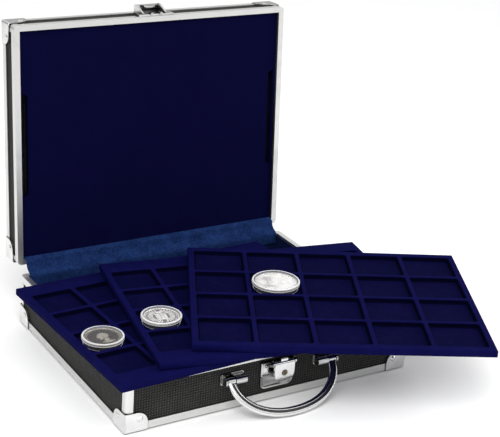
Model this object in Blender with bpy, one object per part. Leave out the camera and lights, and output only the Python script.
"""Coin case with three lift-out display trays, standing open.

Aluminium-framed attache case: a base and a lid of panels held in profiles, chrome corner
caps, two rear hinges, a carrying handle, a key lock and its keeper.  Three flocked coin
trays lie fanned on the open base, and each carries one coin in a two-part round capsule.

Metres, +Z up.  X runs along the front, from left to right, and Y from the front to the rear
hinges.  Pieces are placed from the middle of the outer face of the base's bottom panel, and at
the end everything moves so that the origin lies under the middle of the whole part, on the table.
"""
import math

import bmesh
import bpy
from mathutils import Matrix, Vector

# ---------------------------------------------------------------- driving sizes
CASE_WIDTH = 0.332          # over the corner caps
CASE_DEPTH = 0.268          # over the corner caps
BASE_HEIGHT = 0.056         # from what the case stands on to its rim
LID_HEIGHT = 0.034          # from the lid's rim to the outside of its caps
LID_OPEN_DEG = 93.5         # how far the lid stands open

GAP = 0.0003                # clearance between pieces that touch

# ---------------------------------------------------------------- shells
CAP_T = 0.0010              # sheet of the corner caps
PROFILE_T = 0.0012          # wall of the aluminium profiles
PROFILE_H = 0.0080          # visible height of the edge and rim profiles
RIM_INWARD = 0.0062         # width of the rim seen from above
RIM_LIP = 0.0035            # depth of the lip along the rim's inner edge
EDGE_INWARD = 0.0110        # how far the edge profile reaches under the panel
CORNER_LEG = 0.0080         # leg of the upright corner profiles
CORNER_R = 0.0040           # rounding of the upright corners
PANEL_T = 0.0030            # side panels
END_PANEL_T = 0.0040        # bottom panel of the base and top panel of the lid
CORNER_STEPS = 3

CAP_FLAT = 0.0115           # straight stretch of a corner cap before its round lobe
CAP_LOBE_R = 0.0120         # round lobe of a corner cap on each side
CAP_EDGE_R = 0.0022         # rounding of a cap's outer edges
RIVET_R = 0.0034
RIVET_H = 0.0011
RIVET_ALONG = 0.0035        # rivet's place in its lobe
RIVET_UP = 0.0048

LINING_T = 0.0012
LINING_FLOOR_T = 0.0015

# ---------------------------------------------------------------- rear hinges and flap
HINGE_OFFSET = 0.0060       # hinge axis behind the corner caps
HINGE_SPREAD = 0.1000       # each hinge's middle from the case's middle
HINGE_LENGTH = 0.0360
KNUCKLE_R = 0.0026
HINGE_PIN_R = 0.0012
PIN_CLEARANCE = 0.0001
LEAF_T = 0.0010
LEAF_H = 0.0140
KNUCKLE_GAP = 0.0004

FLAP_WIDTH = 0.3140
FLAP_T = 0.0010

# ---------------------------------------------------------------- lid's insert
INSERT_T = 0.0060
INSERT_BELOW_RIM = 0.0042
INSERT_CLEARANCE = 0.0008   # around the insert, inside the rim's lip
SLOT_WIDTH = 0.0065
SLOT_LENGTH = 0.1160
SLOT_FROM_EDGE = 0.0020     # strip left between a slot and the insert's edge
SLOT_MIDDLE = 0.1330        # slot's middle from the shell's hinge side
SLOT_END_CUT = 0.0030

# ---------------------------------------------------------------- front hardware
FRONT_X = 0.0050            # middle of the handle
LOCK_X = 0.0025             # middle of the lock plate

LOCK_W = 0.0380
LOCK_H = 0.0300
LOCK_T = 0.0026
LOCK_TOP_BELOW_RIM = 0.0112
LOCK_CORNER_R = 0.0060
LOCK_BORDER = 0.0018
LOCK_RECESS = 0.0014
LEVER_W = 0.0230
LEVER_OFFSET = 0.0050       # lever's middle to the right of the plate's
LEVER_DROP = 0.0220         # lever's length below its pivot
LEVER_T = 0.0026
LEVER_PIVOT_OUT = 0.0066    # pivot in front of the panel
LEVER_PIVOT_DOWN = 0.0020   # pivot below the lock plate's top
LEVER_BARREL_R = 0.0021
TRUNNION_R = 0.0012
TRUNNION_LEFT = 0.0105      # trunnion's reach on the spring's side
EAR_T = 0.0018
EAR_R = 0.0030
CATCH_W = 0.0080
CATCH_H = 0.0042
CYLINDER_R = 0.0030
CYLINDER_FLANGE_R = 0.0040
CYLINDER_BELOW_PIVOT = 0.0105
KEY_SLOT_W = 0.0009
KEY_SLOT_L = 0.0036
SPRING_WIRE_R = 0.00035
SPRING_TURNS = 4

KEEPER_X = -0.0010          # middle of the keeper
KEEPER_W = 0.0300           # over its two cheeks
KEEPER_H = 0.0155           # along the panel, from the rim profile to the edge profile
KEEPER_T = 0.0022
KEEPER_FROM_RIM = 0.0085
KEEPER_CHEEK_T = 0.0022     # cheeks that slope down to the rim
KEEPER_OUT = 0.0112         # their height above the panel, far from the rim
KEEPER_LIP_R = 0.0088       # round-ended lip between the cheeks
KEEPER_BAR_T = 0.0022       # bar that lies on the rim profile
KEEPER_BAR_LEFT = 0.0050    # bar's reach past the left cheek
KEEPER_BAR_RIGHT = 0.0070   # and past the right one
KEEPER_SLOT_W = 0.0180      # slot through the bar
KEEPER_SLOT_H = 0.0026
PRONG_W = 0.0030
PRONG_SPREAD = 0.0056       # each prong's middle from the keeper's middle
PRONG_REACH = 0.0030        # how far the prongs stand past the rim
PRONG_T = 0.0018

HANDLE_WIDTH = 0.1180       # between the middles of its two ends
HANDLE_REACH = 0.0430       # pivot axis to the middle of its grip
HANDLE_POWER = 2.15         # roundness of the bow, 2 is an ellipse
HANDLE_SECTION_W = 0.0090
HANDLE_SECTION_T = 0.0056
HANDLE_DROP_DEG = 46.0      # how far the handle hangs below level
HANDLE_PIVOT_Z = 0.0352     # above the table
HANDLE_PIVOT_OUT = 0.0075   # pivot in front of the panel
KNUCKLE_W = 0.0090
HANDLE_KNUCKLE_R = 0.0038
HANDLE_PIN_R = 0.0015
BRACKET_OUTER = 0.0085      # bracket's reach outside the handle's eye, from the eye's middle
BRACKET_INNER = 0.0180      # and inside it
BRACKET_H = 0.0125
BRACKET_T = 0.0014
CHEEK_R = 0.0042
CHEEK_T = 0.0022
BOW_STEPS = 26

# ---------------------------------------------------------------- trays
TRAY_WIDTH = 0.303
TRAY_DEPTH = 0.236
TRAY_T = 0.0075
RECESS_DEPTH = 0.0048
RECESS_DRAFT = 0.0005       # how much narrower a compartment is at its floor, each side

# name, columns, rows, side border, front and rear border, divider width, place, turn
TRAYS = (
    ("tray_1", 6, 4, 0.0070, 0.0240, 0.0055, (-0.0320, -0.0250), 2.6),
    ("tray_2", 6, 4, 0.0070, 0.0240, 0.0055, (0.0375, -0.0495), -10.5),
    ("tray_3", 5, 4, 0.0070, 0.0090, 0.0055, (0.0945, -0.0910), -26.7),
)

# ---------------------------------------------------------------- capsules and coins
CAPSULE_CAP_H = 0.0036
CAPSULE_WALL = 0.0010
CAPSULE_SEAT_W = 0.0012     # ledge that the coin lies on
CAPSULE_FIT = 0.0002        # radial clearance between the two halves
COIN_FIT = 0.0004           # radial clearance around the coin
ROUND_STEPS = 28

# name, tray, column, row (from the rear), cap radius, coin thickness
CAPSULES = (
    ("1", "tray_1", 0, 2, 0.0212, 0.0024),
    ("2", "tray_2", 0, 2, 0.0210, 0.0024),
    ("3", "tray_3", 1, 1, 0.0258, 0.0030),
)

# ---------------------------------------------------------------- worked out from the above
SKIN = CAP_T + GAP                                  # caps stand this far proud of profiles
SHELL_X = CASE_WIDTH / 2 - SKIN                     # profiles' outer faces
SHELL_Y = CASE_DEPTH / 2 - SKIN
PANEL_INSET = PROFILE_T + GAP                       # panels' outer faces, from the profiles'
RIM_Z = BASE_HEIGHT - SKIN - PANEL_INSET            # base's rim above the bottom panel
PANEL_FACE_Y = -(SHELL_Y - PANEL_INSET)             # outer face of the base's front panel
HINGE_Y = CASE_DEPTH / 2 + HINGE_OFFSET
LINING_INSET = PANEL_INSET + PANEL_T + GAP

MERGE = 0.00001             # points closer than this are one point

FINISH = {}


# ================================================================ small tools
def clear_scene():
    """Take every object of a new scene away."""
    for obj in list(bpy.data.objects):
        bpy.data.objects.remove(obj)


def make_material(name, color, roughness, metallic, alpha=1.0):
    """Principled material with one colour."""
    mat = bpy.data.materials.new(name)
    mat.use_nodes = True
    shader = mat.node_tree.nodes["Principled BSDF"]
    shader.inputs["Base Color"].default_value = (*color, 1.0)
    shader.inputs["Roughness"].default_value = roughness
    shader.inputs["Metallic"].default_value = metallic
    shader.inputs["Alpha"].default_value = alpha
    return mat


def make_materials():
    """All finishes, by name."""
    FINISH["aluminium"] = make_material("aluminium", (0.78, 0.78, 0.77), 0.32, 1.0)
    FINISH["chrome"] = make_material("chrome", (0.86, 0.86, 0.86), 0.12, 1.0)
    FINISH["panel"] = make_material("panel", (0.035, 0.035, 0.033), 0.5, 0.0)
    FINISH["flock"] = make_material("flock", (0.012, 0.010, 0.105), 0.95, 0.0)
    FINISH["dark_flock"] = make_material("dark_flock", (0.006, 0.007, 0.045), 0.95, 0.0)
    FINISH["velvet"] = make_material("velvet", (0.012, 0.035, 0.14), 0.9, 0.0)
    FINISH["clear"] = make_material("clear", (0.95, 0.97, 1.0), 0.05, 0.0, 0.3)
    FINISH["silver"] = make_material("silver", (0.75, 0.74, 0.70), 0.25, 1.0)
    FINISH["old_silver"] = make_material("old_silver", (0.34, 0.31, 0.27), 0.4, 1.0)


def add_object(name, bm, finish, parent=None, matrix=None):
    """Turn a bmesh into a named object, with its faces pointing out."""
    bmesh.ops.remove_doubles(bm, verts=bm.verts, dist=MERGE)
    bmesh.ops.recalc_face_normals(bm, faces=bm.faces)
    mesh = bpy.data.meshes.new(name)
    bm.to_mesh(mesh)
    bm.free()
    obj = bpy.data.objects.new(name, mesh)
    obj.data.materials.append(FINISH[finish])
    bpy.context.scene.collection.objects.link(obj)
    if matrix is not None:
        obj.matrix_local = matrix
    obj.parent = parent
    return obj


def add_empty(name, location, rotation=(0.0, 0.0, 0.0), parent=None):
    """Frame that a group of pieces hangs on."""
    empty = bpy.data.objects.new(name, None)
    empty.location = location
    empty.rotation_euler = rotation
    empty.parent = parent
    bpy.context.scene.collection.objects.link(empty)
    return empty


def boolean(obj, bm, operation):
    """Join a second shape to an object or cut it away, and keep the result as its mesh."""
    tool = add_object(obj.name + "_tool", bm, "chrome")
    bake_boolean(obj, tool, operation)


def bake_boolean(obj, tool, operation):
    """Work the Boolean out where both objects stand and drop the tool."""
    modifier = obj.modifiers.new("shape", "BOOLEAN")
    modifier.operation = operation
    modifier.object = tool
    bpy.context.view_layer.update()
    depsgraph = bpy.context.evaluated_depsgraph_get()
    mesh = bpy.data.meshes.new_from_object(obj.evaluated_get(depsgraph))
    obj.modifiers.remove(modifier)
    obj.data = mesh
    bpy.data.objects.remove(tool)
    while len(obj.data.materials) > 1:
        obj.data.materials.pop()
    tidy_mesh(obj.data)


def tidy_mesh(mesh):
    """Close up the tiny steps that a Boolean can leave where surfaces meet."""
    bm = bmesh.new()
    bm.from_mesh(mesh)
    bmesh.ops.remove_doubles(bm, verts=bm.verts, dist=MERGE)
    bmesh.ops.dissolve_degenerate(bm, edges=bm.edges, dist=MERGE)
    bm.to_mesh(mesh)
    bm.free()


def smooth(obj, angle_deg=35.0):
    """Shade an object smooth between its sharp edges."""
    obj.data.shade_smooth()
    obj.data.set_sharp_from_angle(angle=math.radians(angle_deg))


def arc(center, radius, start_deg, end_deg, steps):
    """Points along a circle's arc, both ends included."""
    points = []
    for i in range(steps + 1):
        angle = math.radians(start_deg + (end_deg - start_deg) * i / steps)
        points.append((center[0] + radius * math.cos(angle), center[1] + radius * math.sin(angle)))
    return points


def box(low, high):
    """Bmesh of a box from its lowest to its highest corner."""
    bm = bmesh.new()
    center = [(a + b) / 2 for a, b in zip(low, high)]
    size = [b - a for a, b in zip(low, high)]
    matrix = Matrix.Translation(center) @ Matrix.Diagonal((*size, 1.0))
    bmesh.ops.create_cube(bm, size=1.0, matrix=matrix)
    return bm


def prism(outline, low, high, axis="Z"):
    """Extrude a closed outline along an axis.

    The outline's two values are (X, Y) for axis Z, (X, Z) for axis Y and (Y, Z) for axis X.
    """
    place = {
        "Z": lambda a, b, c: (a, b, c),
        "Y": lambda a, b, c: (a, c, b),
        "X": lambda a, b, c: (c, a, b),
    }[axis]
    bm = bmesh.new()
    bottom = [bm.verts.new(place(a, b, low)) for a, b in outline]
    top = [bm.verts.new(place(a, b, high)) for a, b in outline]
    bm.faces.new(bottom)
    bm.faces.new(top)
    count = len(outline)
    for i in range(count):
        j = (i + 1) % count
        bm.faces.new((bottom[i], bottom[j], top[j], top[i]))
    return bm


def cylinder_x(center, radius, length, steps=20):
    """Bmesh of a round bar along X."""
    bm = bmesh.new()
    turn = Matrix.Rotation(math.radians(90), 4, "Y")
    bmesh.ops.create_cone(
        bm, cap_ends=True, segments=steps, radius1=radius, radius2=radius, depth=length,
        matrix=Matrix.Translation(center) @ turn)
    return bm


def cylinder_y(center, radius, length, steps=20):
    """Bmesh of a round bar along Y."""
    bm = bmesh.new()
    turn = Matrix.Rotation(math.radians(90), 4, "X")
    bmesh.ops.create_cone(
        bm, cap_ends=True, segments=steps, radius1=radius, radius2=radius, depth=length,
        matrix=Matrix.Translation(center) @ turn)
    return bm


def turned(profile, steps=ROUND_STEPS):
    """Spin a closed (radius, height) outline about Z.  Points at radius 0 become one vertex."""
    bm = bmesh.new()
    rings = []
    for radius, height in profile:
        if radius == 0.0:
            rings.append([bm.verts.new((0.0, 0.0, height))] * steps)
            continue
        ring = []
        for i in range(steps):
            angle = 2 * math.pi * i / steps
            ring.append(bm.verts.new((radius * math.cos(angle), radius * math.sin(angle), height)))
        rings.append(ring)
    count = len(rings)
    for k in range(count):
        one, two = rings[k], rings[(k + 1) % count]
        if one[0] is one[1] and two[0] is two[1]:
            continue
        for i in range(steps):
            j = (i + 1) % steps
            corners = []
            for vert in (one[i], one[j], two[j], two[i]):
                if vert not in corners:
                    corners.append(vert)
            bm.faces.new(corners)
    return bm


def rounded_rectangle(half_x, half_y, radius, steps):
    """Outline of a rectangle about the origin with rounded corners, anticlockwise."""
    points = []
    for sign_x, sign_y, start in ((1, 1, 0), (-1, 1, 90), (-1, -1, 180), (1, -1, 270)):
        center = (sign_x * (half_x - radius), sign_y * (half_y - radius))
        points += arc(center, radius, start, start + 90, steps)
    return points


def ring(half_x, half_y, section):
    """Closed frame around a shell: a section of (inset, height) points with mitred corners."""
    bm = bmesh.new()
    columns = []
    for inset, height in section:
        radius = max(CORNER_R - inset, 0.0003)
        outline = rounded_rectangle(half_x - inset, half_y - inset, radius, CORNER_STEPS)
        columns.append([bm.verts.new((x, y, height)) for x, y in outline])
    count = len(columns)
    around = len(columns[0])
    for k in range(count):
        one, two = columns[k], columns[(k + 1) % count]
        for i in range(around):
            j = (i + 1) % around
            bm.faces.new((one[i], one[j], two[j], two[i]))
    return bm


def stand(bm, up):
    """Keep heights as they are for the lid (up = 1) or mirror them for the base (up = -1)."""
    for vert in bm.verts:
        vert.co.z *= up
    return bm


# ================================================================ the two shells
# A shell's heights are depths from the plane of its rim.  The lid's own Z leads from the rim
# to its top panel and the base's down to its bottom panel, so the base is built with up = -1.
def edge_profile(name, depth, up, parent):
    """Frame around a shell's outer edges."""
    outer = depth - SKIN
    section = [
        (0.0, outer - PROFILE_H),
        (0.0, outer),
        (EDGE_INWARD, outer),
        (EDGE_INWARD, outer - PROFILE_T),
        (PROFILE_T, outer - PROFILE_T),
        (PROFILE_T, outer - PROFILE_H),
    ]
    add_object(name, stand(ring(SHELL_X, SHELL_Y, section), up), "aluminium", parent)


def rim_profile(name, up, parent):
    """Frame around a shell's opening, with a lip along its inner edge."""
    section = [
        (0.0, PROFILE_H),
        (0.0, 0.0),
        (RIM_INWARD, 0.0),
        (RIM_INWARD, RIM_LIP),
        (RIM_INWARD - PROFILE_T, RIM_LIP),
        (RIM_INWARD - PROFILE_T, PROFILE_T),
        (PROFILE_T, PROFILE_T),
        (PROFILE_T, PROFILE_H),
    ]
    add_object(name, stand(ring(SHELL_X, SHELL_Y, section), up), "aluminium", parent)


def end_panel(name, depth, up, parent):
    """Large flat panel opposite the opening."""
    outer = depth - SKIN - PANEL_INSET
    radius = CORNER_R - PANEL_INSET
    outline = rounded_rectangle(SHELL_X - PANEL_INSET, SHELL_Y - PANEL_INSET, radius, CORNER_STEPS)
    bm = prism(outline, outer - END_PANEL_T, outer)
    add_object(name, stand(bm, up), "panel", parent)


def side_panels(prefix, depth, up, parent):
    """Front, rear, left and right panels, standing between the rim and the end panel."""
    low = PANEL_INSET
    high = depth - SKIN - PANEL_INSET - END_PANEL_T - GAP
    long_x = SHELL_X - CORNER_R - GAP
    face_y = SHELL_Y - PANEL_INSET
    face_x = SHELL_X - PANEL_INSET
    short_y = face_y - PANEL_T - GAP
    places = {
        "front": ((-long_x, -face_y), (long_x, -face_y + PANEL_T)),
        "rear": ((-long_x, face_y - PANEL_T), (long_x, face_y)),
        "left": ((-face_x, -short_y), (-face_x + PANEL_T, short_y)),
        "right": ((face_x - PANEL_T, -short_y), (face_x, short_y)),
    }
    for side, (corner, opposite) in places.items():
        bm = stand(box((*corner, low), (*opposite, high)), up)
        add_object(prefix + "_" + side + "_panel", bm, "panel", parent)


def corner_profiles(prefix, depth, up, parent):
    """Upright profiles that cover the joints between the side panels."""
    low = PROFILE_H + GAP
    high = depth - SKIN - PROFILE_H - GAP
    outline = [(0.0, CORNER_LEG)]
    outline += arc((CORNER_R, CORNER_R), CORNER_R, 180, 270, CORNER_STEPS)
    outline += [(CORNER_LEG, 0.0), (CORNER_LEG, PROFILE_T)]
    outline += arc((CORNER_R, CORNER_R), CORNER_R - PROFILE_T, 270, 180, CORNER_STEPS)
    outline += [(PROFILE_T, CORNER_LEG)]
    for corner, sign_x, sign_y in CORNERS:
        placed = [(sign_x * (SHELL_X - a), sign_y * (SHELL_Y - b)) for a, b in outline]
        name = prefix + "_corner_profile_" + corner
        smooth(add_object(name, stand(prism(placed, low, high), up), "aluminium", parent))


CORNERS = (
    ("front_left", -1, -1),
    ("front_right", 1, -1),
    ("rear_left", -1, 1),
    ("rear_right", 1, 1),
)


def lobe_cutter(center_a, center_b, low, high, axis):
    """What lies outside a cap's round lobe on one side."""
    far = 0.003
    outline = arc((center_a, center_b), CAP_LOBE_R, 0, 90, 7)
    outline += [
        (center_a, center_b + CAP_LOBE_R + far),
        (center_a + CAP_LOBE_R + far, center_b + CAP_LOBE_R + far),
        (center_a + CAP_LOBE_R + far, center_b),
    ]
    return prism(outline, low, high, axis)


def lobe_pad(center_a, center_b, low, high, axis):
    """Stepped-down stretch of a lobe that meets the panel."""
    start = CORNER_LEG + GAP
    outline = [(start, center_b + GAP)]
    outline += arc((center_a, center_b), CAP_LOBE_R - 0.0002, 2, 88, 6)
    outline.append((start, center_b + CAP_LOBE_R - 0.0002))
    return prism(outline, low, high, axis)


def rivet(center, axis):
    """Low round head on a cap, standing out along minus the axis."""
    bm = bmesh.new()
    turn = {
        "X": Matrix.Rotation(math.radians(-90), 4, "Y"),
        "Y": Matrix.Rotation(math.radians(90), 4, "X"),
        "Z": Matrix.Rotation(math.radians(180), 4, "X"),
    }[axis]
    height = RIVET_H + CAP_T / 2
    bmesh.ops.create_cone(
        bm, cap_ends=True, segments=12, radius1=RIVET_R, radius2=RIVET_R * 0.6, depth=height,
        matrix=Matrix.Translation(center) @ turn)
    return bm


def corner_cap_shape():
    """One cap about the corner of the profiles, with +X, +Y and +Z leading away from it."""
    reach = CAP_FLAT + CAP_LOBE_R
    reach_up = PROFILE_H + CAP_LOBE_R
    bm = box((-SKIN, -SKIN, -SKIN), (reach, reach, reach_up))
    bm.edges.ensure_lookup_table()
    near = [v for v in bm.verts if v.co.length < 0.01]
    bmesh.ops.bevel(
        bm, geom=list(near[0].link_edges), offset=CAP_EDGE_R, segments=3, affect="EDGES",
        profile=0.5)
    cap = add_object("cap_shape", bm, "chrome")
    far = 0.05
    boolean(cap, box((-GAP, -GAP, -GAP), (far, far, far)), "DIFFERENCE")
    low, high = -SKIN - 0.002, -GAP + 0.0002
    boolean(cap, lobe_cutter(CAP_FLAT, PROFILE_H, low, high, "X"), "DIFFERENCE")
    boolean(cap, lobe_cutter(CAP_FLAT, PROFILE_H, low, high, "Y"), "DIFFERENCE")
    boolean(cap, lobe_cutter(CAP_FLAT, CAP_FLAT, low, high, "Z"), "DIFFERENCE")
    inner = PANEL_INSET - GAP
    boolean(cap, lobe_pad(CAP_FLAT, PROFILE_H, -SKIN + CAP_T / 2, inner, "X"), "UNION")
    boolean(cap, lobe_pad(CAP_FLAT, PROFILE_H, -SKIN + CAP_T / 2, inner, "Y"), "UNION")
    out = -SKIN + CAP_T / 4 - RIVET_H / 2
    along = CAP_FLAT + RIVET_ALONG
    up = PROFILE_H + RIVET_UP
    boolean(cap, rivet((out, along, up), "X"), "UNION")
    boolean(cap, rivet((along, out, up), "Y"), "UNION")
    return cap


def corner_caps(prefix, depth, up, parent, shape):
    """Chrome caps on the four outer corners of a shell."""
    for corner, sign_x, sign_y in CORNERS:
        bm = bmesh.new()
        bm.from_mesh(shape.data)
        for vert in bm.verts:
            a, b, c = vert.co
            vert.co = (sign_x * (SHELL_X - a), sign_y * (SHELL_Y - b), depth - SKIN - c)
        name = prefix + "_corner_cap_" + corner
        smooth(add_object(name, stand(bm, up), "chrome", parent))


def shell(prefix, end_name, depth, up, parent, cap_shape):
    """Everything that a shell's box is made of."""
    rim_profile(prefix + "_rim_profile", up, parent)
    edge_profile(prefix + "_edge_profile", depth, up, parent)
    end_panel(prefix + end_name, depth, up, parent)
    side_panels(prefix, depth, up, parent)
    corner_profiles(prefix, depth, up, parent)
    corner_caps(prefix, depth, up, parent, cap_shape)


def base_lining(parent):
    """Velvet-covered liner of the base: a shallow open box."""
    low = RIM_LIP + GAP + 0.0005
    high = BASE_HEIGHT - SKIN - PANEL_INSET - END_PANEL_T - GAP
    half_x = SHELL_X - LINING_INSET
    half_y = SHELL_Y - LINING_INSET
    bm = bmesh.new()
    outer = [(-half_x, -half_y), (half_x, -half_y), (half_x, half_y), (-half_x, half_y)]
    inner_x = half_x - LINING_T
    inner_y = half_y - LINING_T
    inner = [(-inner_x, -inner_y), (inner_x, -inner_y), (inner_x, inner_y), (-inner_x, inner_y)]
    levels = ((outer, high), (outer, low), (inner, low), (inner, high - LINING_FLOOR_T))
    rings = [[bm.verts.new((x, y, z)) for x, y in outline] for outline, z in levels]
    for one, two in zip(rings, rings[1:]):
        for i in range(4):
            j = (i + 1) % 4
            bm.faces.new((one[i], one[j], two[j], two[i]))
    bm.faces.new(rings[0])
    bm.faces.new(rings[-1])
    add_object("base_lining", stand(bm, -1), "velvet", parent)


def lid_insert(parent):
    """Flocked panel in the lid, with a finger slot at each side."""
    half_x = SHELL_X - RIM_INWARD - INSERT_CLEARANCE
    half_y = SHELL_Y - RIM_INWARD - INSERT_CLEARANCE
    low = INSERT_BELOW_RIM
    insert = add_object(
        "lid_insert", box((-half_x, -half_y, low), (half_x, half_y, low + INSERT_T)),
        "dark_flock", parent)
    middle = SHELL_Y - SLOT_MIDDLE
    for sign in (-1, 1):
        outer = sign * (half_x - SLOT_FROM_EDGE)
        inner = sign * (half_x - SLOT_FROM_EDGE - SLOT_WIDTH)
        half = SLOT_LENGTH / 2
        outline = [
            (outer, middle - half),
            (outer, middle + half),
            (inner, middle + half - SLOT_END_CUT),
            (inner, middle - half + SLOT_END_CUT),
        ]
        slot = add_object("slot_tool", prism(outline, low - 0.01, low + INSERT_T + 0.01), "chrome", parent)
        bake_boolean(insert, slot, "DIFFERENCE")


# ================================================================ rear hinges
def hinge_leaf(name, knuckles, side, parent, offset):
    """Plate on a shell's rear side, bent out to its knuckles.

    The leaf is made about the hinge axis: +Z points into its own shell's side, and its plate
    stands against the profile's outer face.
    """
    half = HINGE_LENGTH / 2
    face = -(HINGE_OFFSET + SKIN) + GAP
    plate_top = LEAF_H
    web_low = KNUCKLE_GAP
    outline = [
        (face, plate_top),
        (face, web_low),
        (0.0, web_low),
        (0.0, web_low + LEAF_T),
        (face + LEAF_T, web_low + LEAF_T),
        (face + LEAF_T, plate_top),
    ]
    placed = [(a, side * b) for a, b in outline]
    leaf = add_object(name, prism(placed, -half, half, "X"), "chrome")
    for low, high in free_stretches(knuckles, half):
        reach = KNUCKLE_R + 2 * KNUCKLE_GAP
        bm = box((low, -reach, -reach), (high, reach, reach))
        boolean(leaf, bm, "DIFFERENCE")
    for low, high in knuckles:
        bm = cylinder_x(((low + high) / 2, 0.0, 0.0), KNUCKLE_R, high - low)
        boolean(leaf, bm, "UNION")
    bore = HINGE_PIN_R + PIN_CLEARANCE
    boolean(leaf, cylinder_x((0.0, 0.0, 0.0), bore, HINGE_LENGTH + 0.002), "DIFFERENCE")
    smooth(leaf)
    leaf.location = offset
    leaf.parent = parent


def free_stretches(knuckles, half):
    """Stretches of a leaf's edge that leave room for the other leaf's knuckles."""
    stretches = []
    edge = -half - 0.001
    for low, high in knuckles:
        if low > edge + 0.0011:
            stretches.append((edge, low))
        edge = high
    if edge < half - 0.0001:
        stretches.append((edge, half + 0.001))
    return stretches


def hinge(side_name, x, lid_frame):
    """One butt hinge: a leaf with two knuckles on the base, one knuckle on the lid, a pin."""
    half = HINGE_LENGTH / 2
    third = HINGE_LENGTH / 6
    outer = [(-half, -third - KNUCKLE_GAP / 2), (third + KNUCKLE_GAP / 2, half)]
    middle = [(-third + KNUCKLE_GAP / 2, third - KNUCKLE_GAP / 2)]
    hinge_leaf("hinge_base_leaf_" + side_name, outer, -1, None, (x, HINGE_Y, RIM_Z))
    hinge_leaf("hinge_lid_leaf_" + side_name, middle, 1, lid_frame, (x, 0.0, 0.0))
    pin = add_object(
        "hinge_pin_" + side_name,
        cylinder_x((0.0, 0.0, 0.0), HINGE_PIN_R, HINGE_LENGTH + 0.0012), "chrome")
    pin.location = (x, HINGE_Y, RIM_Z)
    smooth(pin)


# ================================================================ fabric flap over the hinge gap
def flap_route():
    """Side view of the flap, (Y, Z): from behind the lid's rim to the well's rear wall."""
    tilt = math.radians(LID_OPEN_DEG - 90)
    rim_edge = HINGE_OFFSET + SKIN + RIM_INWARD
    lid_y = HINGE_Y + rim_edge * math.sin(tilt)
    lid_z = RIM_Z + rim_edge * math.cos(tilt)
    front = FLAP_T / 2 + 2 * GAP
    rim_in = SHELL_Y - RIM_INWARD
    top = RIM_Z + front
    return [
        (lid_y + 0.0030, lid_z + 0.0018),
        (lid_y - front - 0.0004, lid_z + 0.0012),
        (HINGE_Y - front - 0.0002, RIM_Z + 0.0100),
        (HINGE_Y - 0.0028, RIM_Z + 0.0045),
        (SHELL_Y + 0.0010, top + 0.0014),
        (SHELL_Y - 0.0030, top),
        (rim_in + 0.0004, top + 0.0002),
        (rim_in - front, RIM_Z + 0.0001),
        (rim_in - front, RIM_Z - RIM_LIP - 0.0030),
        (rim_in - front, RIM_Z - 0.0120),
    ]


def hinge_flap():
    """Strip of velvet that closes the gap between the base and the lid."""
    route = [Vector((0.0, y, z)) for y, z in flap_route()]
    bm = bmesh.new()
    half = FLAP_WIDTH / 2
    rows = []
    for i, point in enumerate(route):
        before = route[max(i - 1, 0)]
        after = route[min(i + 1, len(route) - 1)]
        along = (after - before).normalized()
        out = Vector((0.0, along.z, -along.y)) * (FLAP_T / 2)
        row = []
        for x in (-half, half):
            for side in (out, -out):
                spot = point + side
                row.append(bm.verts.new((x, spot.y, spot.z)))
        rows.append(row)
    for one, two in zip(rows, rows[1:]):
        for a, b in ((0, 1), (1, 3), (3, 2), (2, 0)):
            bm.faces.new((one[a], one[b], two[b], two[a]))
    for row in (rows[0], rows[-1]):
        bm.faces.new((row[0], row[1], row[3], row[2]))
    add_object("hinge_flap", bm, "velvet")


# ================================================================ lock and keeper
def lock_outline(width, low, high, radius_low, radius_high):
    """Plate outline about X = 0 between two heights, with its own rounding at each end."""
    half = width / 2
    points = arc((half - radius_high, high - radius_high), radius_high, 0, 90, 3)
    points += arc((-half + radius_high, high - radius_high), radius_high, 90, 180, 3)
    points += arc((-half + radius_low, low + radius_low), radius_low, 180, 270, 4)
    points += arc((half - radius_low, low + radius_low), radius_low, 270, 360, 4)
    return points


def dished_plate(name, size, radii, depth, border, recess):
    """Plate facing -Y whose front is let in, with a raised border all round.

    size is its width, lower and upper edge, radii the roundings of its lower and upper
    corners, and depth the places of its back and front.
    """
    width, low, high = size
    back, front = depth
    plate = add_object(name, prism(lock_outline(width, low, high, *radii), front, back, "Y"), "chrome")
    inner_radii = [max(radius - border, 0.0004) for radius in radii]
    inner = lock_outline(width - 2 * border, low + border, high - border, *inner_radii)
    boolean(plate, prism(inner, front - 0.001, front + recess, "Y"), "DIFFERENCE")
    return plate


def lock():
    """Plate with two ears, a swinging lever, its key cylinder and its spring."""
    top = RIM_Z - LOCK_TOP_BELOW_RIM
    back = PANEL_FACE_Y - GAP
    front = back - LOCK_T
    pivot_y = PANEL_FACE_Y - LEVER_PIVOT_OUT
    pivot_z = top - LEVER_PIVOT_DOWN
    floor_y = front + LOCK_RECESS
    frame = add_empty("lock_frame", (LOCK_X, 0.0, 0.0))
    lever_frame = add_empty("lock_lever_frame", (LEVER_OFFSET, 0.0, 0.0), parent=frame)
    plate = dished_plate(
        "lock_plate", (LOCK_W, top - LOCK_H, top), (LOCK_CORNER_R, 0.0012), (back, front),
        LOCK_BORDER, LOCK_RECESS)
    for sign in (-1, 1):
        near = LEVER_OFFSET + sign * (LEVER_W / 2 + GAP)
        far = near + sign * EAR_T
        ear = [(floor_y + 0.0006, pivot_z + EAR_R)]
        ear += arc((pivot_y, pivot_z), EAR_R, 90, 270, 6)
        ear += [(floor_y + 0.0006, pivot_z - EAR_R)]
        boolean(plate, prism(ear, min(near, far), max(near, far), "X"), "UNION")
    bore = TRUNNION_R + 0.00015
    boolean(plate, cylinder_x((0.0, pivot_y, pivot_z), bore, LOCK_W, 16), "DIFFERENCE")
    plate.parent = frame
    smooth(plate, 30)
    pivot = add_empty("lock_lever_pivot", (0.0, pivot_y, pivot_z), parent=lever_frame)
    lock_lever(pivot)
    lock_cylinder(pivot)
    lock_spring(lever_frame, pivot_y, pivot_z)


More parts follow.
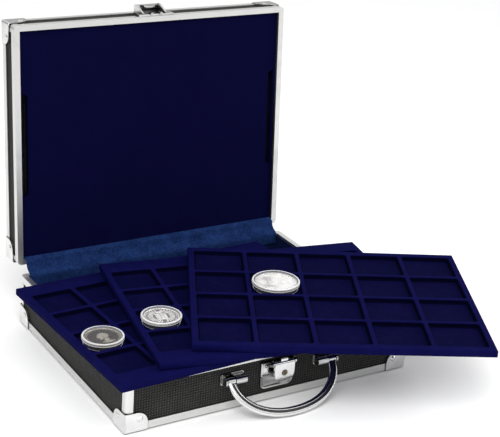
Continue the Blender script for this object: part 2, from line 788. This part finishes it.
def lock_lever(pivot):
    """Lever about its pivot axis: barrel, flat cover, catch and trunnions."""
    outer = -LEVER_BARREL_R - 0.0008
    inner = outer + LEVER_T
    half = LEVER_W / 2
    outline = [(half, 0.0), (-half, 0.0)]
    outline += arc((0.0, half - LEVER_DROP), half, 180, 360, 10)
    lever = add_object("lock_lever", prism(outline, outer, inner, "Y"), "chrome")
    boolean(lever, cylinder_x((0.0, 0.0, 0.0), LEVER_BARREL_R, LEVER_W, 16), "UNION")
    half_catch = CATCH_W / 2
    catch = box((-half_catch, -0.0011, 0.0), (half_catch, 0.0011, CATCH_H))
    boolean(lever, catch, "UNION")
    right = LEVER_W / 2 + EAR_T
    left = LEVER_W / 2 + TRUNNION_LEFT
    middle = (right - left) / 2
    boolean(lever, cylinder_x((middle, 0.0, 0.0), TRUNNION_R, right + left, 12), "UNION")
    hole = CYLINDER_R + GAP
    boolean(lever, cylinder_y((0.0, 0.0, -CYLINDER_BELOW_PIVOT), hole, 0.02, 20), "DIFFERENCE")
    lever.parent = pivot
    smooth(lever, 30)


def lock_cylinder(pivot):
    """Key cylinder in the lever, with a flange behind it and a key slot in front."""
    outer = -LEVER_BARREL_R - 0.0008
    front = outer - 0.0006
    back = outer + LEVER_T + GAP
    height = -CYLINDER_BELOW_PIVOT
    frame = add_empty("lock_cylinder_frame", (0.0, 0.0, height), parent=pivot)
    body = add_object(
        "lock_cylinder", cylinder_y((0.0, (front + back) / 2, 0.0), CYLINDER_R, back - front), "chrome")
    flange = 0.0006
    boolean(body, cylinder_y((0.0, back + flange / 2, 0.0), CYLINDER_FLANGE_R, flange * 1.2), "UNION")
    slot = box(
        (-KEY_SLOT_W / 2, front - 0.001, -KEY_SLOT_L / 2), (KEY_SLOT_W / 2, front + 0.0014, KEY_SLOT_L / 2))
    boolean(body, slot, "DIFFERENCE")
    body.parent = frame
    smooth(body, 30)


def lock_spring(frame, pivot_y, pivot_z):
    """Small torsion spring wound round the lever's long trunnion."""
    coil_r = TRUNNION_R + SPRING_WIRE_R + GAP
    start = -(LEVER_W / 2 + EAR_T + 3 * GAP + SPRING_WIRE_R)
    pitch = (TRUNNION_LEFT - EAR_T - 5 * GAP - 2 * SPRING_WIRE_R) / SPRING_TURNS
    per_turn = 12
    sides = 6
    bm = bmesh.new()
    rings = []
    for i in range(SPRING_TURNS * per_turn + 1):
        turn = 2 * math.pi * i / per_turn
        x = start - pitch * i / per_turn
        center = Vector((x, coil_r * math.cos(turn), coil_r * math.sin(turn)))
        out = Vector((0.0, math.cos(turn), math.sin(turn)))
        ring_verts = []
        for k in range(sides):
            angle = 2 * math.pi * k / sides
            spot = center + out * (SPRING_WIRE_R * math.cos(angle))
            spot.x += SPRING_WIRE_R * math.sin(angle)
            ring_verts.append(bm.verts.new(spot))
        rings.append(ring_verts)
    for one, two in zip(rings, rings[1:]):
        for k in range(sides):
            m = (k + 1) % sides
            bm.faces.new((one[k], one[m], two[m], two[k]))
    bm.faces.new(rings[0])
    bm.faces.new(rings[-1])
    spring = add_object("lock_spring", bm, "chrome", frame)
    spring.location = (0.0, pivot_y, pivot_z)
    smooth(spring, 60)


def keeper(lid_frame):
    """Catch on the lid's front side: plate, sloping cheeks, a round-ended lip, and a rim bar."""
    panel_y = -(HINGE_OFFSET + CASE_DEPTH - SKIN - PANEL_INSET)
    back = panel_y - GAP
    low = KEEPER_FROM_RIM
    high = low + KEEPER_H
    half = KEEPER_W / 2
    plate = add_object(
        "lid_keeper", box((-half, back - KEEPER_T, low), (half, back, high)), "chrome")
    bar_back = panel_y - PANEL_INSET - GAP
    bar_front = bar_back - KEEPER_BAR_T
    bar = box((-half - KEEPER_BAR_LEFT, bar_front, GAP),
              (half + KEEPER_BAR_RIGHT, bar_back, low + 0.0012))
    boolean(plate, bar, "UNION")
    out = panel_y - KEEPER_OUT
    for sign in (-1, 1):
        cheek = [
            (back - KEEPER_T / 2, high - 0.0004),
            (out + 0.0010, high - 0.0004),
            (out, high - 0.0014),
            (out, high - 0.0060),
            (bar_front - 0.0010, 0.0032),
            (bar_front - 0.0010, 0.0014),
            (bar_front + 0.0008, 0.0014),
            (bar_front + 0.0008, low + 0.0004),
            (back - KEEPER_T / 2, low + 0.0008),
        ]
        ends = sorted((sign * half, sign * (half - KEEPER_CHEEK_T)))
        boolean(plate, prism(cheek, ends[0], ends[1], "X"), "UNION")
    side = half - KEEPER_CHEEK_T / 2
    turn = high - 0.0040
    lip = [(side, high - 0.0008), (-side, high - 0.0008), (-side, turn)]
    lip += arc((0.0, turn), KEEPER_LIP_R, 180, 360, 10)
    lip.append((side, turn))
    boolean(plate, prism(lip, out + 0.0003, out + 0.0021, "Y"), "UNION")
    wall = box((-side, out + 0.0006, high - 0.0024), (side, back - KEEPER_T / 2, high - 0.0010))
    boolean(plate, wall, "UNION")
    slot_low = 0.0034
    slot_half = KEEPER_SLOT_W / 2
    slot = box((-slot_half, bar_front - 0.001, slot_low),
               (slot_half, bar_back + 0.001, slot_low + KEEPER_SLOT_H))
    boolean(plate, slot, "DIFFERENCE")
    for sign in (-1, 1):
        center = sign * PRONG_SPREAD
        prong = [
            (bar_front - PRONG_T, 0.0024),
            (bar_front - PRONG_T, -PRONG_REACH + 0.0006),
            (bar_front - PRONG_T + 0.0006, -PRONG_REACH),
            (bar_front - 0.0002, -PRONG_REACH),
            (bar_front + 0.0006, GAP + 0.0002),
            (bar_front + 0.0006, 0.0024),
        ]
        boolean(plate, prism(prong, center - PRONG_W / 2, center + PRONG_W / 2, "X"), "UNION")
    plate.location = (KEEPER_X, 0.0, 0.0)
    plate.parent = lid_frame
    smooth(plate, 30)


# ================================================================ handle
def bow_point(step):
    """Centre of the handle's bow and the direction across it, in the bow's own plane."""
    def place(t):
        c, s = math.cos(t), math.sin(t)
        x = math.copysign(abs(c) ** (2 / HANDLE_POWER), c) * HANDLE_WIDTH / 2
        return Vector((x, -(abs(s) ** (2 / HANDLE_POWER)) * HANDLE_REACH, 0.0))

    angle = math.pi * step / BOW_STEPS
    small = 0.002
    along = place(min(angle + small, math.pi)) - place(max(angle - small, 0.0))
    along.normalize()
    return place(angle), Vector((along.y, -along.x, 0.0))


def handle_bow(pivot):
    """Bow of oval section with a round eye at each end."""
    sides = 10
    bm = bmesh.new()
    rings = []
    for step in range(BOW_STEPS + 1):
        center, across = bow_point(step)
        ring_verts = []
        for k in range(sides):
            angle = 2 * math.pi * (k + 0.5) / sides
            spot = center + across * (HANDLE_SECTION_W / 2 * math.cos(angle))
            spot.z += HANDLE_SECTION_T / 2 * math.sin(angle)
            ring_verts.append(bm.verts.new(spot))
        rings.append(ring_verts)
    for one, two in zip(rings, rings[1:]):
        for k in range(sides):
            m = (k + 1) % sides
            bm.faces.new((one[k], one[m], two[m], two[k]))
    bm.faces.new(rings[0])
    bm.faces.new(rings[-1])
    bow = add_object("handle", bm, "chrome")
    for sign in (-1, 1):
        center = (sign * HANDLE_WIDTH / 2, 0.0, 0.0)
        boolean(bow, cylinder_x(center, HANDLE_KNUCKLE_R, KNUCKLE_W, 18), "UNION")
    for sign in (-1, 1):
        center = (sign * HANDLE_WIDTH / 2, 0.0, 0.0)
        bore = HANDLE_PIN_R + 0.0002
        boolean(bow, cylinder_x(center, bore, 2 * KNUCKLE_W, 18), "DIFFERENCE")
    bow.parent = pivot
    smooth(bow, 40)


def handle_bracket(name, x, inward, pivot_y, pivot_z):
    """Plate with a short outer cheek, a long inner barrel and the pin for a handle's eye.

    inward is the side of the case's middle: 1 or -1 along X.
    """
    back = PANEL_FACE_Y - GAP
    front = back - BRACKET_T
    outline = lock_outline(
        BRACKET_OUTER + BRACKET_INNER, pivot_z - BRACKET_H / 2, pivot_z + BRACKET_H / 2, 0.003, 0.003)
    middle = inward * (BRACKET_INNER - BRACKET_OUTER) / 2
    placed = [(a + middle, b) for a, b in outline]
    bracket = add_object(name, prism(placed, back, front, "Y"), "chrome")
    beside = KNUCKLE_W / 2 + GAP
    for start, end in ((-beside - CHEEK_T, -beside), (beside, BRACKET_INNER - 0.0010)):
        cheek = [(back - BRACKET_T / 2, pivot_z + CHEEK_R)]
        cheek += arc((pivot_y, pivot_z), CHEEK_R, 90, 270, 7)
        cheek += [(back - BRACKET_T / 2, pivot_z - CHEEK_R)]
        ends = sorted((inward * start, inward * end))
        boolean(bracket, prism(cheek, ends[0], ends[1], "X"), "UNION")
    pin = cylinder_x((0.0, pivot_y, pivot_z), HANDLE_PIN_R, 2 * beside + CHEEK_T, 14)
    boolean(bracket, pin, "UNION")
    bracket.location.x = x
    smooth(bracket, 30)


def handle():
    """Carrying handle and its two brackets."""
    pivot_y = PANEL_FACE_Y - HANDLE_PIVOT_OUT
    pivot_z = HANDLE_PIVOT_Z - SKIN - PANEL_INSET
    pivot = add_empty(
        "handle_pivot", (FRONT_X, pivot_y, pivot_z), (math.radians(HANDLE_DROP_DEG), 0.0, 0.0))
    handle_bow(pivot)
    half = HANDLE_WIDTH / 2
    handle_bracket("handle_bracket_left", FRONT_X - half, 1, pivot_y, pivot_z)
    handle_bracket("handle_bracket_right", FRONT_X + half, -1, pivot_y, pivot_z)


# ================================================================ trays, capsules, coins
def compartment_edges(count, length, border, divider):
    """Low and high edge of each compartment along one side of a tray, about its middle."""
    size = (length - 2 * border - (count - 1) * divider) / count
    edges = []
    for i in range(count):
        low = -length / 2 + border + i * (size + divider)
        edges.append((low, low + size))
    return edges


def tray_shape(columns, rows, border_x, border_y, divider):
    """Solid tray with its compartments let into the top."""
    across = compartment_edges(columns, TRAY_WIDTH, border_x, divider)
    deep = compartment_edges(rows, TRAY_DEPTH, border_y, divider)
    xs = [-TRAY_WIDTH / 2] + [v for pair in across for v in pair] + [TRAY_WIDTH / 2]
    ys = [-TRAY_DEPTH / 2] + [v for pair in deep for v in pair] + [TRAY_DEPTH / 2]
    bm = bmesh.new()
    top = {}
    for i, x in enumerate(xs):
        for j, y in enumerate(ys):
            top[i, j] = bm.verts.new((x, y, TRAY_T))
    floor_z = TRAY_T - RECESS_DEPTH
    for i in range(len(xs) - 1):
        for j in range(len(ys) - 1):
            edge = [top[i, j], top[i + 1, j], top[i + 1, j + 1], top[i, j + 1]]
            if i % 2 == 0 or j % 2 == 0:
                bm.faces.new(edge)
                continue
            low_x, high_x = xs[i] + RECESS_DRAFT, xs[i + 1] - RECESS_DRAFT
            low_y, high_y = ys[j] + RECESS_DRAFT, ys[j + 1] - RECESS_DRAFT
            corners = ((low_x, low_y), (high_x, low_y), (high_x, high_y), (low_x, high_y))
            floor = [bm.verts.new((x, y, floor_z)) for x, y in corners]
            bm.faces.new(floor)
            for k in range(4):
                m = (k + 1) % 4
                bm.faces.new((edge[k], edge[m], floor[m], floor[k]))
    last_x, last_y = len(xs) - 1, len(ys) - 1
    rim = [top[i, 0] for i in range(last_x)]
    rim += [top[last_x, j] for j in range(last_y)]
    rim += [top[i, last_y] for i in range(last_x, 0, -1)]
    rim += [top[0, j] for j in range(last_y, 0, -1)]
    bottom = [bm.verts.new((v.co.x, v.co.y, 0.0)) for v in rim]
    for k in range(len(rim)):
        m = (k + 1) % len(rim)
        bm.faces.new((rim[k], rim[m], bottom[m], bottom[k]))
    bm.faces.new(bottom)
    return bm


def capsule(name, frame, center, cap_r, coin_t):
    """Clear lower half, coin and clear cap, standing in a compartment."""
    floor_z = TRAY_T - RECESS_DEPTH + GAP
    cap_low = TRAY_T + GAP
    cap_high = cap_low + CAPSULE_CAP_H
    wall_r = cap_r - CAPSULE_WALL - CAPSULE_FIT
    inner_r = wall_r - CAPSULE_WALL
    wall_high = cap_high - CAPSULE_WALL - GAP
    coin_high = cap_high - CAPSULE_WALL - 2 * GAP
    coin_low = coin_high - coin_t
    seat_z = coin_low - GAP
    seat_r = inner_r - CAPSULE_SEAT_W
    lower = [
        (0.0, floor_z),
        (wall_r, floor_z),
        (wall_r, wall_high),
        (inner_r, wall_high),
        (inner_r, seat_z),
        (seat_r, seat_z),
        (seat_r, floor_z + CAPSULE_WALL),
        (0.0, floor_z + CAPSULE_WALL),
    ]
    cap = [
        (0.0, cap_high),
        (cap_r, cap_high),
        (cap_r, cap_high - CAPSULE_CAP_H),
        (cap_r - CAPSULE_WALL, cap_high - CAPSULE_CAP_H),
        (cap_r - CAPSULE_WALL, cap_high - CAPSULE_WALL),
        (0.0, cap_high - CAPSULE_WALL),
    ]
    coin_r = inner_r - COIN_FIT
    coin = [(0.0, coin_high), (coin_r, coin_high), (coin_r, coin_low), (0.0, coin_low)]
    holder = add_empty("capsule_frame_" + name, (*center, 0.0), parent=frame)
    finish = "old_silver" if name == "1" else "silver"
    smooth(add_object("capsule_base_" + name, turned(lower), "clear", holder))
    smooth(add_object("capsule_cap_" + name, turned(cap), "clear", holder))
    smooth(add_object("coin_" + name, turned(coin), finish, holder))


def trays():
    """The fanned stack of trays and what stands in them."""
    z = RIM_Z + GAP
    frames = {}
    grids = {}
    for name, columns, rows, border_x, border_y, divider, place, turn in TRAYS:
        frame = add_empty(name + "_frame", (*place, z), (0.0, 0.0, math.radians(turn)))
        add_object(name, tray_shape(columns, rows, border_x, border_y, divider), "flock", frame)
        across = compartment_edges(columns, TRAY_WIDTH, border_x, divider)
        deep = compartment_edges(rows, TRAY_DEPTH, border_y, divider)
        frames[name] = frame
        grids[name] = (across, deep)
        z += TRAY_T + GAP
    for name, tray, column, row, cap_r, coin_t in CAPSULES:
        across, deep = grids[tray]
        x = sum(across[column]) / 2
        y = sum(deep[len(deep) - 1 - row]) / 2
        capsule(name, frames[tray], (x, y), cap_r, coin_t)


# ================================================================ the whole case
def stand_on_origin():
    """Put the origin under the middle of the whole part, where it touches the table."""
    bpy.context.view_layer.update()
    spots = []
    for obj in bpy.context.scene.objects:
        if obj.type == "MESH":
            spots += [obj.matrix_world @ vert.co for vert in obj.data.vertices]
    low = [min(spot[axis] for spot in spots) for axis in range(3)]
    high = [max(spot[axis] for spot in spots) for axis in range(3)]
    shift = Vector(((low[0] + high[0]) / 2, (low[1] + high[1]) / 2, low[2]))
    for obj in bpy.context.scene.objects:
        if obj.parent is None:
            obj.location -= shift


def main():
    clear_scene()
    make_materials()
    cap_shape = corner_cap_shape()
    base_frame = add_empty("base_frame", (0.0, 0.0, RIM_Z))
    lid_frame = add_empty(
        "lid_hinge_axis", (0.0, HINGE_Y, RIM_Z), (-math.radians(LID_OPEN_DEG), 0.0, 0.0))
    lid_shell = add_empty("lid_shell_frame", (0.0, -HINGE_Y, GAP), parent=lid_frame)
    shell("base", "_bottom_panel", BASE_HEIGHT, -1, base_frame, cap_shape)
    shell("lid", "_top_panel", LID_HEIGHT, 1, lid_shell, cap_shape)
    bpy.data.objects.remove(cap_shape)
    base_lining(base_frame)
    lid_insert(lid_shell)
    hinge("left", -HINGE_SPREAD, lid_frame)
    hinge("right", HINGE_SPREAD, lid_frame)
    hinge_flap()
    lock()
    keeper(lid_frame)
    handle()
    trays()
    stand_on_origin()


main()
